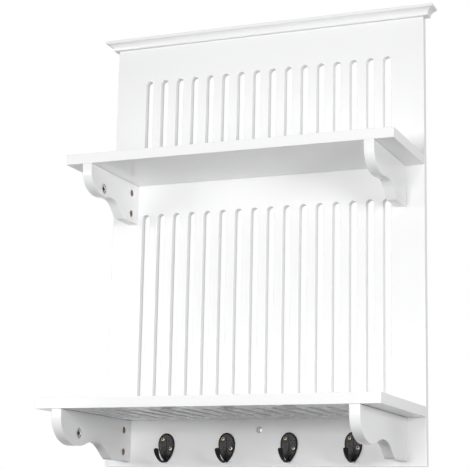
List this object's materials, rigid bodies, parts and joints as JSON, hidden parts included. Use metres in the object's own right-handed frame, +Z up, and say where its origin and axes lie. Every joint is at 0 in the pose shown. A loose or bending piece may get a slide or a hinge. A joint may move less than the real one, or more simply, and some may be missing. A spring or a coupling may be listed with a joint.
{
  "type": "wall plate rack with shelves",
  "caption": "White painted wall rack: slotted back panel, slotted lower shelf for standing plates, upper shelf, scrolled brackets, crown cap and black hooks.",
  "frame": {"origin": "on the wall face of the back panel, midway between the two keyholes that it hangs from", "axes": "+Z up, -Y out of the wall towards the user, +X to the right as the user sees it"},
  "size_m": [0.5346, 0.231, 0.6713],
  "materials": {
    "white_paint": "semi-gloss white paint",
    "black_iron": "pebbled black",
    "brass": "satin",
    "zinc": "die-cast",
    "steel": "satin",
    "beech": "bare"
  },
  "bodies": {
    "root": {"back_panel": "white_paint", "crown_cap": "white_paint", "crown_dowel_1": "beech", "crown_dowel_2": "beech", "crown_dowel_3": "beech", "hook_1": "black_iron", "hook_1_screw_1": "brass", "hook_1_screw_2": "brass", "hook_2": "black_iron", "hook_2_screw_1": "brass", "hook_2_screw_2": "brass", "hook_3": "black_iron", "hook_3_screw_1": "brass", "hook_3_screw_2": "brass", "hook_4": "black_iron", "hook_4_screw_1": "brass", "hook_4_screw_2": "brass", "lower_left_barrel_nut_1": "zinc", "lower_left_barrel_nut_2": "zinc", "lower_left_bolt_1": "steel", "lower_left_bolt_2": "steel", "lower_left_bracket": "white_paint", "lower_left_cam_bolt": "steel", "lower_left_cam_lock": "zinc", "lower_right_barrel_nut_1": "zinc", "lower_right_barrel_nut_2": "zinc", "lower_right_bolt_1": "steel", "lower_right_bolt_2": "steel", "lower_right_bracket": "white_paint", "lower_right_cam_bolt": "steel", "lower_right_cam_lock": "zinc", "lower_shelf": "white_paint", "lower_shelf_screw_1": "steel", "lower_shelf_screw_2": "steel", "lower_shelf_screw_3": "steel", "upper_left_barrel_nut_1": "zinc", "upper_left_barrel_nut_2": "zinc", "upper_left_bolt_1": "steel", "upper_left_bolt_2": "steel", "upper_left_bracket": "white_paint", "upper_left_cam_bolt": "steel", "upper_left_cam_lock": "zinc", "upper_right_barrel_nut_1": "zinc", "upper_right_barrel_nut_2": "zinc", "upper_right_bolt_1": "steel", "upper_right_bolt_2": "steel", "upper_right_bracket": "white_paint", "upper_right_cam_bolt": "steel", "upper_right_cam_lock": "zinc", "upper_shelf": "white_paint", "upper_shelf_screw_1": "steel", "upper_shelf_screw_2": "steel", "upper_shelf_screw_3": "steel"}
  },
  "joints": []
}
